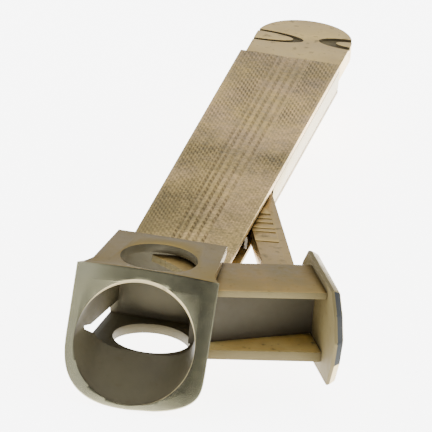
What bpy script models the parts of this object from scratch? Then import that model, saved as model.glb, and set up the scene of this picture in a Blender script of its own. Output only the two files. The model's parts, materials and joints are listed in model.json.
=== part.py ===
"""Pocket cigar cutter: a ringed cutting head on a flat box handle, and a side lever with a bladed carriage.

Metres, +Z up. The origin is the centre of the bottom cover's outer face, +Y runs along the handle away from
the head, and +X points to the side on which the lever stands out.
"""

import math

import bmesh
import bpy
from mathutils import Matrix, Vector

MM = 0.001
GAP = 0.0003

# Handle
COVER_LENGTH = 79.2 * MM
HANDLE_WIDTH = 13.1 * MM
HANDLE_HEIGHT = 4.0 * MM
SHEET = 0.6 * MM
RAIL = 1.0 * MM
TONGUE_LENGTH = 16.2 * MM
TONGUE_WIDTH = 12.4 * MM
TONGUE_ROUND = 7.2 * MM
TONGUE_FULLNESS = 0.9
TANG_LENGTH = 9.0 * MM
SPACER_LENGTH = 7.0 * MM
SPACER_EDGE_X = -0.6 * MM
SCALLOP_DEPTH = 0.35 * MM
SCALLOP_HALF_WIDTH = 1.7 * MM
SCALLOP_OVERHANG = 0.4 * MM
SCALLOPS = ((-1, 5.4 * MM, 9.0 * MM), (1, 3.6 * MM, 10.2 * MM))  # side, reach, distance from the covers

# Head, measured back from its top front edge
HEAD_LENGTH = 12.9 * MM
HEAD_TOP = 8.0 * MM
BOX_BOTTOM = -3.8 * MM
BOX_HALF_WIDTH = 6.9 * MM
TOP_WALL = 1.1 * MM
BOTTOM_WALL = 0.85 * MM
FACE_RAKE = math.radians(21.2)
NECK_BACK = 2.4 * MM
RING_CENTRE_X = -1.0 * MM
RING_DROP = 9.0 * MM
BIG_BORE_RADIUS = 7.6 * MM
SMALL_HOLE_RADIUS = 4.85 * MM
SMALL_HOLE_X = -0.25 * MM
SMALL_HOLE_BACK = 5.2 * MM
BORE_STRAIGHT = 0.6 * MM
MOUTH_BACK = 0.8 * MM
MOUTH_LEAN = 0.5 * MM
MOUTH_MIDDLE = 0.5 * MM
MOUTH_HALF_WIDTH = 6.5 * MM
MOUTH_SQUARENESS = 0.6
MOUTH_INSET = 0.2 * MM
CHAMBER_FRONT = 0.1 * MM
CHAMBER_LEFT = (-7.1 * MM, -6.0 * MM)  # at the front and at the back
SLOT_INSIDE_X = -5.5 * MM
UPPER_SLOT = 1.7 * MM
UPPER_SLOT_FRONT = 4.0 * MM
LOWER_SLOT = 2.0 * MM
LOWER_SLOT_FRONT = 1.0 * MM
CUT_THROUGH = 14.0 * MM
REAR_WALL = 0.75 * MM
REAR_WALL_END = 5.0 * MM
LEVER_GATE_X = 2.5 * MM

# The head's cross-sections: left, right, top, shoulder, bottom, squareness of the corners, lift at the right
FACE_SECTION = (-9.6 * MM, 8.2 * MM, RING_DROP, 0.5 * MM, -8.15 * MM, (2.7, 6.0), 1.9 * MM)
NECK_SECTION = (-8.0 * MM, 7.5 * MM, HEAD_TOP, 0.0, -4.3 * MM, (4.0, 4.0), 0.0)
REAR_SECTION = (-BOX_HALF_WIDTH, BOX_HALF_WIDTH, HEAD_TOP, 0.0, BOX_BOTTOM, (7.0, 7.0), 0.0)

# Lever and its carriage
LEVER_ANGLE = math.radians(17.5)
CARRIAGE_ANGLE = math.radians(20.5)
PLATE_ANGLE = math.radians(23.0)
WEB_ANGLE = math.radians(36.0)
PIVOT_X = 2.6 * MM
PIVOT_BACK = 52.3 * MM
PIN_RADIUS = 1.0 * MM
PIN_CLEARANCE = 0.06 * MM
LEVER_WIDTH = 4.0 * MM
LEVER_HEIGHT = 2.0 * MM
LEVER_TIP = ((43.4, -1.0), (41.9, 0.5), (40.3, 0.5), (36.5, 1.0))
CARRIAGE_TOP = 6.6 * MM
CARRIAGE_BOTTOM = -2.65 * MM
UPPER_BLADE = 0.9 * MM
LOWER_BLADE = 1.3 * MM
BLADE_TIPS = ((6.3, 0.5), (-1.9, 9.4))  # across, and back from the head's front, in mm
BLADE_BELLY = 1.0 * MM
GUIDE_TIPS = ((6.6, 0.65), (4.9, 9.8))
GUIDE_BELLY = 0.4 * MM
BELLY_WAY = (0.73, 0.68)
WEB = 1.0 * MM
WEB_LENGTH = 16.4 * MM
WEB_START = (4.9, 1.9)  # across, and back from the head's front, in mm
WEB_CHAMFER = 0.9 * MM
CARRIAGE_DEPTH = 9.4 * MM
CARRIAGE_REACH = 14.1 * MM
CARRIAGE_START_X = 7.6 * MM
CARRIAGE_START_BACK = 1.0 * MM
PLATE_THICKNESS = 1.5 * MM
PLATE_MIDDLE = (5.1, 1.6)  # back from the carriage's front, and height, in mm
PLATE_OUTLINE = (
    (12.0, 7.5),
    (-1.6, 7.5),
    (-4.2, 5.2),
    (-5.9, 2.1),
    (-5.2, -1.1),
    (-3.5, -4.3),
    (13.5, -4.3),
    (15.3, -1.1),
    (16.0, 2.1),
    (14.2, 5.2),
)
PLATE_PROFILE = ((0.0, 1.0), (0.25, 1.0), (0.75, 0.95), (1.0, 0.87))  # part of the thickness, scale

FRONT_Y = -COVER_LENGTH / 2 - GAP - HEAD_LENGTH
REAR_Y = COVER_LENGTH / 2
PIVOT = Vector((PIVOT_X, FRONT_Y + PIVOT_BACK, 0))
INNER_TOP = HANDLE_HEIGHT - SHEET - GAP
INNER_BOTTOM = SHEET + GAP
RING_STEPS = 40
PIN_STEPS = 24
RIVET_STEPS = 20
COVER_EDGE = 0.15 * MM

RIVET_RADIUS = 0.8 * MM
RIVETS = {
    "front_rivet": (-3.0 * MM, -REAR_Y + 3.5 * MM),
    "rear_rivet_left": (-3.4 * MM, REAR_Y - 4.5 * MM),
    "rear_rivet_right": (3.4 * MM, REAR_Y - 4.5 * MM),
}
ANCHOR = (-3.45 * MM, PIVOT.y + 11 * MM)
ANCHOR_RADIUS = 0.6 * MM
SPRING_REACH = 22.0 * MM
SPRING_THICKNESS = 0.35 * MM
SPRING_CLEARANCE = 0.6 * MM
SPRING_BOW = 2.2

COLOURS = {
    "brass": ((0.42, 0.35, 0.20, 1), 0.38),
    "nickel_silver": ((0.50, 0.46, 0.37, 1), 0.30),
    "steel": ((0.45, 0.43, 0.38, 1), 0.32),
}


def clear_scene():
    for obj in list(bpy.data.objects):
        bpy.data.objects.remove(obj)


def finish_material(name, finish):
    colour, roughness = COLOURS[finish]
    material = bpy.data.materials.new(name)
    material.use_nodes = True
    shader = material.node_tree.nodes["Principled BSDF"]
    shader.inputs["Base Color"].default_value = colour
    shader.inputs["Metallic"].default_value = 1.0
    shader.inputs["Roughness"].default_value = roughness
    return material


def make_object(name, mesh_builder, finish=None, origin=None):
    """A named object from a bmesh, with its origin moved to `origin`."""
    mesh = bpy.data.meshes.new(name)
    bmesh.ops.recalc_face_normals(mesh_builder, faces=mesh_builder.faces)
    mesh_builder.to_mesh(mesh)
    mesh_builder.free()
    obj = bpy.data.objects.new(name, mesh)
    bpy.context.scene.collection.objects.link(obj)
    if origin is not None:
        mesh.transform(Matrix.Translation(-origin))
        obj.location = origin
    if finish:
        mesh.materials.append(finish_material(name, finish))
    return obj


def add_prism(builder, outline, low, high):
    """A straight prism on a plan outline of (x, y) points."""
    bottom = [builder.verts.new((x, y, low)) for x, y in outline]
    top = [builder.verts.new((x, y, high)) for x, y in outline]
    count = len(outline)
    builder.faces.new(bottom[::-1])
    builder.faces.new(top)
    for i in range(count):
        j = (i + 1) % count
        builder.faces.new((bottom[i], bottom[j], top[j], top[i]))


def prism(outline, low, high):
    builder = bmesh.new()
    add_prism(builder, outline, low, high)
    return builder


def box_outline(x0, y0, x1, y1):
    return [(x0, y0), (x1, y0), (x1, y1), (x0, y1)]


def circle(centre, radius, steps):
    turn = 2 * math.pi / steps
    return [
        (centre[0] + radius * math.cos(i * turn), centre[1] + radius * math.sin(i * turn))
        for i in range(steps)
    ]


def loft(sections):
    """A closed body through rings of equally many 3-D points."""
    builder = bmesh.new()
    rings = [[builder.verts.new(p) for p in ring] for ring in sections]
    count = len(rings[0])
    builder.faces.new(rings[0])
    builder.faces.new(rings[-1][::-1])
    for a, b in zip(rings, rings[1:]):
        for i in range(count):
            j = (i + 1) % count
            builder.faces.new((a[i], b[i], b[j], a[j]))
    return builder


def cut(target, cutters):
    for cutter in cutters:
        cutter.hide_render = True
        cutter.display_type = "WIRE"
        modifier = target.modifiers.new("cut_" + cutter.name, "BOOLEAN")
        modifier.operation = "DIFFERENCE"
        modifier.object = cutter
        modifier.solver = "EXACT"


def bevel(obj, width, segments=1):
    modifier = obj.modifiers.new("edges", "BEVEL")
    modifier.width = width
    modifier.segments = segments
    modifier.limit_method = "ANGLE"
    modifier.angle_limit = math.radians(40)


def cushion(left, right, top, shoulder, bottom, powers, rise):
    """Flat top and sides down to the shoulder, then a rounded underside, as (x, height).

    `powers` say how square its left and right corners are, and `rise` lifts the right one.
    """
    points = [(left, shoulder), (left, top), ((left + right) / 2, top), (right, top), (right, shoulder)]
    middle = (left + right) / 2
    half = (right - left) / 2
    for i in range(1, RING_STEPS):
        angle = math.pi * i / RING_STEPS
        power = powers[math.cos(angle) > 0]
        across = math.copysign(abs(math.cos(angle)) ** (2 / power), math.cos(angle))
        depth = shoulder - bottom - rise * max(across, 0.0) ** 2
        points.append((middle + half * across, shoulder - depth * math.sin(angle) ** (2 / power)))
    return points


def on_face(x, up, forward=0.0):
    """A point of the raked front face, `up` measured along it from the ring's centre."""
    centre_y = FRONT_Y - RING_DROP * math.sin(FACE_RAKE)
    centre_z = HEAD_TOP - RING_DROP * math.cos(FACE_RAKE)
    y = centre_y + up * math.sin(FACE_RAKE) - forward * math.cos(FACE_RAKE)
    z = centre_z + up * math.cos(FACE_RAKE) + forward * math.sin(FACE_RAKE)
    return Vector((x, y, z))


def upright(points, y):
    return [Vector((x, y, z)) for x, z in points]


def head_body():
    rings = [
        [on_face(x, up) for x, up in cushion(*FACE_SECTION)],
        upright(cushion(*NECK_SECTION), FRONT_Y + NECK_BACK),
        upright(cushion(*REAR_SECTION), FRONT_Y + HEAD_LENGTH),
    ]
    return make_object("head_block", loft(rings), "nickel_silver")


def bore_cutter():
    """The big bore: round in the raked face, passing into the square chamber behind it."""
    turn = 2 * math.pi / RING_STEPS
    low = BOX_BOTTOM + BOTTOM_WALL
    high = HEAD_TOP - TOP_WALL - MOUTH_INSET
    inside, outside, chamber = [], [], []
    for i in range(RING_STEPS):
        cosine = math.cos(i * turn)
        sine = math.sin(i * turn)
        x = RING_CENTRE_X + BIG_BORE_RADIUS * cosine
        outside.append(on_face(x, BIG_BORE_RADIUS * sine, 3 * MM))
        inside.append(on_face(x, BIG_BORE_RADIUS * sine, -BORE_STRAIGHT))
        across = math.copysign(abs(cosine) ** MOUTH_SQUARENESS, cosine)
        up = math.copysign(abs(sine) ** MOUTH_SQUARENESS, sine)
        x = RING_CENTRE_X + MOUTH_MIDDLE + MOUTH_HALF_WIDTH * across
        y = FRONT_Y + MOUTH_BACK + MOUTH_LEAN * up
        chamber.append(Vector((x, y, (low + high) / 2 + (high - low) / 2 * up)))
    return make_object("bore_cutter", loft([outside, inside, chamber]))


def chamber_cutters():
    """The carriage's chamber, open on the right and at the right rear, with two blade slots on the left."""
    low = BOX_BOTTOM + BOTTOM_WALL
    high = HEAD_TOP - TOP_WALL
    front = FRONT_Y + CHAMBER_FRONT
    back = FRONT_Y + HEAD_LENGTH - REAR_WALL
    behind = back + 4 * MM
    left_front, left_back = CHAMBER_LEFT
    chamber = [(left_front, front), (CUT_THROUGH, front), (CUT_THROUGH, back), (left_back, back)]
    flange_gate = box_outline(REAR_WALL_END, back - MM, CUT_THROUGH, behind)
    lever_gate = box_outline(LEVER_GATE_X, back - MM, CUT_THROUGH, behind)
    upper_slot = box_outline(-CUT_THROUGH, FRONT_Y + UPPER_SLOT_FRONT, SLOT_INSIDE_X, back)
    lower_slot = box_outline(-CUT_THROUGH, FRONT_Y + LOWER_SLOT_FRONT, SLOT_INSIDE_X, back)
    return [
        make_object("chamber_cutter", prism(chamber, low, high)),
        make_object("flange_gate_cutter", prism(flange_gate, low, high)),
        make_object("lever_gate_cutter", prism(lever_gate, INNER_BOTTOM - GAP, INNER_TOP + GAP)),
        make_object("upper_slot_cutter", prism(upper_slot, high - UPPER_SLOT, high)),
        make_object("lower_slot_cutter", prism(lower_slot, low, low + LOWER_SLOT)),
    ]


def make_head():
    head = head_body()
    hole = circle((SMALL_HOLE_X, FRONT_Y + SMALL_HOLE_BACK), SMALL_HOLE_RADIUS, RING_STEPS)
    hole_cutter = make_object("small_hole_cutter", prism(hole, -CUT_THROUGH, CUT_THROUGH))
    cut(head, [bore_cutter(), *chamber_cutters(), hole_cutter])
    return head


def rivet_hole(name, centre, radius):
    hole = circle(centre, radius + PIN_CLEARANCE, PIN_STEPS)
    return make_object(name + "_hole_cutter", prism(hole, -MM, INNER_TOP - MM))


def make_rivets():
    """Flush rivets through the bottom cover into the spacer and the tang, each a node of its own."""
    for name, centre in RIVETS.items():
        outline = circle(centre, RIVET_RADIUS, RIVET_STEPS)
        make_object(name, prism(outline, 0, INNER_TOP - MM - GAP), "steel")


def make_handle():
    half = HANDLE_WIDTH / 2
    cover = box_outline(-half, -REAR_Y, half, REAR_Y)
    top = make_object("top_cover", prism(cover, HANDLE_HEIGHT - SHEET, HANDLE_HEIGHT), "brass")
    bottom = make_object("bottom_cover", prism(cover, 0, SHEET), "brass")
    left = box_outline(-half, -REAR_Y, -half + RAIL, REAR_Y)
    make_object("left_rail", prism(left, INNER_BOTTOM, INNER_TOP), "brass")
    make_object("right_rail", prism(right_rail_outline(), INNER_BOTTOM, INNER_TOP), "brass")
    outline = box_outline(-half + RAIL + GAP, -REAR_Y, SPACER_EDGE_X, -REAR_Y + SPACER_LENGTH)
    spacer = make_object("front_spacer", prism(outline, INNER_BOTTOM, INNER_TOP), "brass")
    bevel(top, COVER_EDGE)
    bevel(bottom, COVER_EDGE)
    holes = {name: rivet_hole(name, centre, RIVET_RADIUS) for name, centre in RIVETS.items()}
    holes["pivot_pin"] = rivet_hole("pivot_pin", (PIVOT.x, PIVOT.y), PIN_RADIUS)
    holes["spring_anchor_pin"] = rivet_hole("spring_anchor_pin", ANCHOR, ANCHOR_RADIUS)
    cut(bottom, holes.values())
    cut(spacer, [holes["front_rivet"]])
    return holes


def lever_point(along, across):
    """A plan point on the lever: `along` runs from the pivot to the head, `across` to the right."""
    x = PIVOT.x + along * math.sin(LEVER_ANGLE) + across * math.cos(LEVER_ANGLE)
    y = PIVOT.y - along * math.cos(LEVER_ANGLE) + across * math.sin(LEVER_ANGLE)
    return (x, y)


def right_rail_outline():
    """The rail behind the lever's slot. Its front end lies along the open lever, which it stops."""
    outer = HANDLE_WIDTH / 2
    inner = outer - RAIL
    stop = LEVER_WIDTH / 2 + GAP

    def stop_y(x):
        along = (x - PIVOT.x - stop * math.cos(LEVER_ANGLE)) / math.sin(LEVER_ANGLE)
        return lever_point(along, stop)[1]

    return [(outer, stop_y(outer)), (outer, REAR_Y), (inner, REAR_Y), (inner, stop_y(inner))]


def make_tongue(rivet_holes):
    """The rounded end, with a narrower tang held between the covers and two thumb scallops on top."""
    half = TONGUE_WIDTH / 2
    shoulder = REAR_Y + GAP
    straight = shoulder + TONGUE_LENGTH - TONGUE_ROUND
    tang = HANDLE_WIDTH / 2 - RAIL - GAP
    tang_end = REAR_Y - TANG_LENGTH
    outline = [(-tang, tang_end), (tang, tang_end), (tang, shoulder), (half, shoulder)]
    steps = 28
    for i in range(steps + 1):
        angle = math.pi * i / steps
        y = straight + TONGUE_ROUND * math.sin(angle) ** TONGUE_FULLNESS
        outline.append((half * math.cos(angle), y))
    outline += [(-half, shoulder), (-tang, shoulder)]
    tongue = make_object("end_tongue", prism(outline, INNER_BOTTOM, INNER_TOP), "nickel_silver")
    cutters = []
    for side, reach, back in SCALLOPS:
        middle = Vector((side * (half + SCALLOP_OVERHANG), shoulder + back))
        scallop = [(middle.x + reach * x, middle.y + SCALLOP_HALF_WIDTH * y) for x, y in circle((0, 0), 1, 24)]
        low = INNER_TOP - SCALLOP_DEPTH
        cutters.append(make_object(f"scallop_cutter_{side + 2}", prism(scallop, low, INNER_TOP + MM)))
    cut(tongue, cutters + rivet_holes)


def make_pivot():
    centre = (PIVOT.x, PIVOT.y)
    outline = circle(centre, PIN_RADIUS, PIN_STEPS)
    make_object("pivot_pin", prism(outline, 0, INNER_TOP), "steel", PIVOT)


def make_spring():
    """A bowed leaf between the left rail and the lever, anchored by a pin behind the pivot."""
    steps = 20
    start_y = ANCHOR[1] + MM
    end_y = PIVOT.y - SPRING_REACH
    rail = -HANDLE_WIDTH / 2 + RAIL + GAP
    lever_side = lever_point(SPRING_REACH, -LEVER_WIDTH / 2)[0] - GAP
    half = SPRING_THICKNESS / 2
    middle = []
    for i in range(steps + 1):
        t = i / steps
        x = rail + SPRING_CLEARANCE + (lever_side - 2 * SPRING_CLEARANCE - rail) * t**SPRING_BOW
        middle.append((x, start_y + (end_y - start_y) * t))
    left = [(x - half, y) for x, y in middle]
    right = [(x + half, y) for x, y in middle]
    leaf = prism(left + right[::-1], INNER_BOTTOM + GAP, INNER_TOP - GAP)
    make_object("opening_spring", leaf, "steel")
    anchor = circle(ANCHOR, ANCHOR_RADIUS, RIVET_STEPS)
    make_object("spring_anchor_pin", prism(anchor, 0, INNER_TOP), "steel")


def make_lever():
    """A flat bar from a rounded eye at the pivot to the carriage."""
    half = LEVER_WIDTH / 2
    outline = []
    steps = 16
    for i in range(steps + 1):
        angle = math.pi * i / steps
        outline.append(lever_point(-half * math.sin(angle), half * math.cos(angle)))
    outline += [lever_point(along * MM, across * half) for along, across in LEVER_TIP]
    middle = (INNER_BOTTOM + INNER_TOP) / 2
    lever = make_object(
        "lever_arm",
        prism(outline[::-1], middle - LEVER_HEIGHT / 2, middle + LEVER_HEIGHT / 2),
        "brass",
        PIVOT,
    )
    eye = circle((PIVOT.x, PIVOT.y), PIN_RADIUS + PIN_CLEARANCE, PIN_STEPS)
    cut(lever, [make_object("eye_cutter", prism(eye, -MM, HANDLE_HEIGHT + MM))])


def carriage_point(along, back):
    """A plan point on the carriage: `along` from the head to the thumb plate, `back` from its front."""
    start_y = FRONT_Y + CARRIAGE_START_BACK
    x = CARRIAGE_START_X + along * math.cos(CARRIAGE_ANGLE) - back * math.sin(CARRIAGE_ANGLE)
    y = start_y + along * math.sin(CARRIAGE_ANGLE) + back * math.cos(CARRIAGE_ANGLE)
    return (x, y)


def flange_outline(tips, belly):
    """A flange of the carriage: straight front and back, with a bowed edge between its tips inside the head."""
    front_tip, back_tip = (Vector((x * MM, FRONT_Y + back * MM)) for x, back in tips)
    outline = [front_tip, carriage_point(CARRIAGE_REACH, 0)]
    seat = PLATE_ANGLE - CARRIAGE_ANGLE
    outline.append(carriage_point(CARRIAGE_REACH - CARRIAGE_DEPTH * math.tan(seat), CARRIAGE_DEPTH))
    outline.append(carriage_point(0, CARRIAGE_DEPTH))
    steps = 10
    for i in range(steps):
        t = i / steps
        bow = Vector(BELLY_WAY) * belly * math.sin(math.pi * t)
        outline.append(back_tip.lerp(front_tip, t) + bow)
    return outline


def make_carriage():
    """The upper blade and the lower guide, joined by an upright web set back towards the thumb plate."""
    upper = prism(flange_outline(BLADE_TIPS, BLADE_BELLY), CARRIAGE_TOP - UPPER_BLADE, CARRIAGE_TOP)
    lower = prism(flange_outline(GUIDE_TIPS, GUIDE_BELLY), CARRIAGE_BOTTOM, CARRIAGE_BOTTOM + LOWER_BLADE)
    make_object("upper_blade", upper, "brass", PIVOT)
    make_object("lower_guide", lower, "brass", PIVOT)
    along = Vector((math.cos(WEB_ANGLE), math.sin(WEB_ANGLE)))
    across = Vector((-along.y, along.x))
    start = Vector((WEB_START[0] * MM, FRONT_Y + WEB_START[1] * MM))
    end = start + along * WEB_LENGTH
    web = [start, end, end + across * WEB, start + across * WEB + along * WEB_CHAMFER]
    outline = [(p.x, p.y) for p in web]
    low = CARRIAGE_BOTTOM + LOWER_BLADE + GAP
    high = CARRIAGE_TOP - UPPER_BLADE - GAP
    make_object("cutter_web", prism(outline, low, high), "brass", PIVOT)


def plate_point(back, height, out):
    """A point of the thumb plate, `out` from the carriage's end and `back` from the carriage's front."""
    seat = carriage_point(CARRIAGE_REACH + GAP, 0)
    x = seat[0] + out * math.cos(PLATE_ANGLE) - back * math.sin(PLATE_ANGLE)
    y = seat[1] + out * math.sin(PLATE_ANGLE) + back * math.cos(PLATE_ANGLE)
    return Vector((x, y, height))


def make_thumb_plate():
    """A long plate with clipped ends, bevelled all round, whose outline narrows outwards."""
    rings = []
    for out, keep in PLATE_PROFILE:
        ring = []
        for back, height in PLATE_OUTLINE:
            b = PLATE_MIDDLE[0] + (back - PLATE_MIDDLE[0]) * keep
            h = PLATE_MIDDLE[1] + (height - PLATE_MIDDLE[1]) * keep
            ring.append(plate_point(b * MM, h * MM, out * PLATE_THICKNESS))
        rings.append(ring)
    make_object("thumb_plate", loft(rings), "nickel_silver", PIVOT)


def main():
    clear_scene()
    make_head()
    holes = make_handle()
    make_tongue([holes["rear_rivet_left"], holes["rear_rivet_right"]])
    make_rivets()
    make_pivot()
    make_spring()
    make_lever()
    make_carriage()
    make_thumb_plate()


main()
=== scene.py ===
"""Looks of the pocket cigar cutter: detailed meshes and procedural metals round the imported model."""

import json
import math
import random

import bmesh
import bpy
from mathutils import Matrix, Vector


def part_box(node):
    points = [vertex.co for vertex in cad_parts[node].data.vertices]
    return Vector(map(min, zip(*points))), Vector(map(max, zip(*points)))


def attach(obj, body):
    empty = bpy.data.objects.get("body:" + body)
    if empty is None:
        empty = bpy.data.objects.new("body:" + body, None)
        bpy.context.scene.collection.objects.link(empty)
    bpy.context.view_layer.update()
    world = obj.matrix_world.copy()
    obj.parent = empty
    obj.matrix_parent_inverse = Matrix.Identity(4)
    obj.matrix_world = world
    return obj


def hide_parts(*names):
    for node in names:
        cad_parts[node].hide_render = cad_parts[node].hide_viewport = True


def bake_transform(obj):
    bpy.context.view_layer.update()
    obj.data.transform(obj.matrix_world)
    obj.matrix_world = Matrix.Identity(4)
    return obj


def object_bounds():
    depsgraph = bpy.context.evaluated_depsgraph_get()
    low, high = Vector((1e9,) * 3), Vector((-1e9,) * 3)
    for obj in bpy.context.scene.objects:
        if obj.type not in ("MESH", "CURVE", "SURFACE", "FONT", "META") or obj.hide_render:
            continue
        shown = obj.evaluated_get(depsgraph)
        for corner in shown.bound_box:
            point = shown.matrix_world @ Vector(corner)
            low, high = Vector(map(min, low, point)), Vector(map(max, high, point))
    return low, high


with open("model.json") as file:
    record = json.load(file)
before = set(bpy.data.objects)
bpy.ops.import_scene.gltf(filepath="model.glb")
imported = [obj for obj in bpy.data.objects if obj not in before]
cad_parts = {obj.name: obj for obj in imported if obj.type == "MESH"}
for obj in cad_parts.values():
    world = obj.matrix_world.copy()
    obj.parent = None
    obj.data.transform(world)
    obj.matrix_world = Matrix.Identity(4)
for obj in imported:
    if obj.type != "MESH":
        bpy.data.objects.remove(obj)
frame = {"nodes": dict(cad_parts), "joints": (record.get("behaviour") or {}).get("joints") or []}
cad_low, cad_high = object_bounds()

MM = 0.001

# Head, measured back from its top front edge
HEAD_LENGTH = 12.9 * MM
HEAD_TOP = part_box("head_block")[1].z
FRONT_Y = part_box("head_block")[1].y - HEAD_LENGTH
BOX_BOTTOM = -3.8 * MM
FACE_RAKE = math.radians(21.2)
FACE_MIDDLE = -0.7 * MM
FACE_HALF = 9.0 * MM
FACE_DROP = 8.2 * MM
FACE_SCALES = (0.8, 0.85, 0.9, 0.95, 0.98, 1.0)
PILLOW = 0.75 * MM
NECK_BACK = 2.4 * MM
NECK_PARTS = (0.25, 0.55)
NECK_CURL = 0.6
RING_DROP = 9.0 * MM
RING_CENTRE_X = -1.0 * MM
CROWN_STEPS = 16

# The head's cross-sections: left, right, top, crown, shoulder, bottom, how square the left and right
# corners are, and how far the right one is lifted
FACE_SECTION = (-9.7 * MM, 8.3 * MM, RING_DROP, 0.3 * MM, 0.5 * MM, -8.2 * MM, (2.7, 7.0), 1.9 * MM)
NECK_SECTION = (-8.0 * MM, 7.4 * MM, HEAD_TOP, 0.0, 0.0, -4.3 * MM, (4.0, 4.0), 0.0)
REAR_SECTION = (-6.9 * MM, 6.9 * MM, HEAD_TOP, 0.0, 0.0, BOX_BOTTOM, (7.0, 7.0), 0.0)

# Bore and small hole
BIG_BORE_RADIUS = 7.6 * MM
BORE_STRAIGHT = 0.5 * MM
LIP_WIDTH = 0.22 * MM
LIP_LEAN = 0.12 * MM
LIP_START = 0.05 * MM
LIP_DEPTH = 0.35 * MM
LIP_FLARE = 0.9 * MM  # how much wider the bore's cutter is, 1 mm outside the face
MOUTH_BACK = 0.7 * MM
MOUTH_LEAN = 0.6 * MM
MOUTH_MIDDLE = 0.5 * MM
MOUTH_HALF_WIDTH = 6.5 * MM
MOUTH_SQUARENESS = 0.6
MOUTH_INSET = 0.2 * MM
SMALL_HOLE_RADIUS = 4.85 * MM
SMALL_HOLE_X = -0.25 * MM
SMALL_HOLE_BACK = 5.3 * MM

# The carriage's chamber, its gates and the slots in the left wall
TOP_WALL = 1.1 * MM
BOTTOM_WALL = 1.08 * MM
REAR_WALL = 0.75 * MM
OUTSIDE = 14.0 * MM
CHAMBER_FRONT = ((-7.1, 0.1), (5.8, 0.1), (7.0, 0.6), (14.0, 0.6))  # across and back, in mm
CHAMBER_BACK_X = -6.0 * MM
REAR_WALL_END = 5.0 * MM
LEVER_GATE_X = 2.5 * MM
LEVER_GATE_HEIGHTS = (0.6 * MM, 3.4 * MM)
SLOT_INSIDE_X = -5.5 * MM
UPPER_SLOT = 1.7 * MM
UPPER_SLOT_FRONT = 4.0 * MM
SLIT_FRONT = -1.1 * MM
SLIT_TIP = (0.1 * MM, -0.3 * MM)
SLIT_BACK_TOP = -1.0 * MM
SLIT_FLOOR_FRONT = 2.4 * MM

# Handle
COVER_LOW, COVER_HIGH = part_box("top_cover")
HANDLE_TOP = COVER_HIGH.z
HALF_WIDTH = COVER_HIGH.x
REAR_Y = COVER_HIGH.y
COVER_RIM = 0.35 * MM
COVER_SKIRT = 0.25 * MM  # this and RAIL_GROW close the gaps that the model leaves between its solids
RAIL_GROW = 0.27 * MM
STRIPES = (0.345, 0.405, 0.480, 0.555, 0.635)  # left sides of the dark stripes, in parts of the width
STRIPE_WIDTH = 0.034
STRIPE_LIP = 0.05 * MM
FURROW = 0.04 * MM
HATCH_PITCH = 0.63 * MM
HATCH_TURN = -0.483  # radians
LINE_PITCH = 0.38 * MM
TONGUE_GAP = 0.05 * MM
TONGUE_ROUND = 7.2 * MM
TONGUE_FULLNESS = 0.9
TANG_INSET = 1.2 * MM
SCALLOP_DEPTH = 0.3 * MM
SCALLOP_NOSE = 2.3  # how many times wider a scallop's groove is at its far end
SCALLOP_OVERHANG = 0.3 * MM
SCALLOPS = (  # side, distance from the covers, reach, half height and width of the groove, in mm
    (-1, 8.8, 6.6, 2.0, 0.6),
    (1, 9.9, 4.6, 1.9, 1.0),
)
PIN_STEPS = 40
PIN_CHAMFER = 0.1 * MM
PIN_END = 0.01 * MM
# Parts of the pin's radius, and heights from its lower end in mm
PIN_HEAD = ((1.45, -0.02), (1.45, -0.10), (1.30, -0.22), (1.0, -0.32), (0.6, -0.38), (0.2, -0.40))

# Lever and its carriage
PIVOT = Vector(frame["joints"][0]["pos_m"])
LEVER_ANGLE = math.radians(17.5)
CARRIAGE_ANGLE = math.radians(20.5)
PLATE_ANGLE = math.radians(23.0)
WEB_ANGLE = math.radians(36.0)
LEVER_HALF = 2.0 * MM
LEVER_STOP = 2.3 * MM
LEVER_TIP = ((43.6, -2.0), (42.0, 1.0), (40.3, 1.0), (36.5, 2.0))  # along and across, in mm
LEVER_GROOVES = ((14.0, 0.5), (15.6, 0.35), (17.0, 0.7), (19.0, 0.35), (20.2, 0.5), (23.5, 0.4))
GROOVE_ENDS = (-2.4, 0.9)
GROOVE_SLANT = 0.3
GROOVE_DEPTH = 0.1 * MM
EYE_RADIUS = 1.06 * MM
CARRIAGE_START_X = 7.6 * MM
CARRIAGE_START_BACK = 1.0 * MM
CARRIAGE_REACH = 14.1 * MM
CARRIAGE_DEPTH = 9.4 * MM
BLADE_TIPS = ((6.3, 0.5), (-1.9, 9.6))  # across, and back from the head's front, in mm
BLADE_HEEL = ((3.6, 11.2), (0.5, 10.7), (-1.9, 10.1))
BLADE_BELLY = 1.0 * MM
BLADE_NICK = 0.35 * MM
GUIDE_TIPS = ((6.6, 0.65), (4.9, 9.8))
GUIDE_BELLY = 0.4 * MM
GUIDE_NICK = 0.1 * MM
BELLY_WAY = (0.73, 0.68)
FLANGE_GROW = 0.25 * MM  # past the model's flanges, towards the thumb plate
WEB = 1.0 * MM
WEB_LENGTH = 17.3 * MM
WEB_START = (4.9, 1.9)
WEB_CHAMFER = 0.9 * MM
WEB_GROW = 0.28 * MM  # up and down, to meet the flanges
PLATE_GAP = 0.3 * MM
PLATE_OUTLINE = (  # back from the carriage's front, and height, in mm
    (12.0, 7.5),
    (-1.6, 7.5),
    (-4.2, 5.2),
    (-5.9, 2.1),
    (-5.2, -1.1),
    (-3.5, -4.3),
    (13.5, -4.3),
    (15.3, -1.1),
    (16.0, 2.1),
    (14.2, 5.2),
)
PLATE_MIDDLE = (5.1, 1.6)
# How far out each ring of the plate is in mm, and its size in parts of the outline
PLATE_PROFILE = ((0.0, 1.0), (0.4, 1.0), (1.25, 0.94), (1.5, 0.86), (1.68, 0.65), (1.75, 0.35))

# Stage and camera
FLOOR_DROP = 0.35 * MM
FLOOR_HALF = 3.0
DARK_PATCH = (0.14, -0.83, 0.59)
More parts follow.
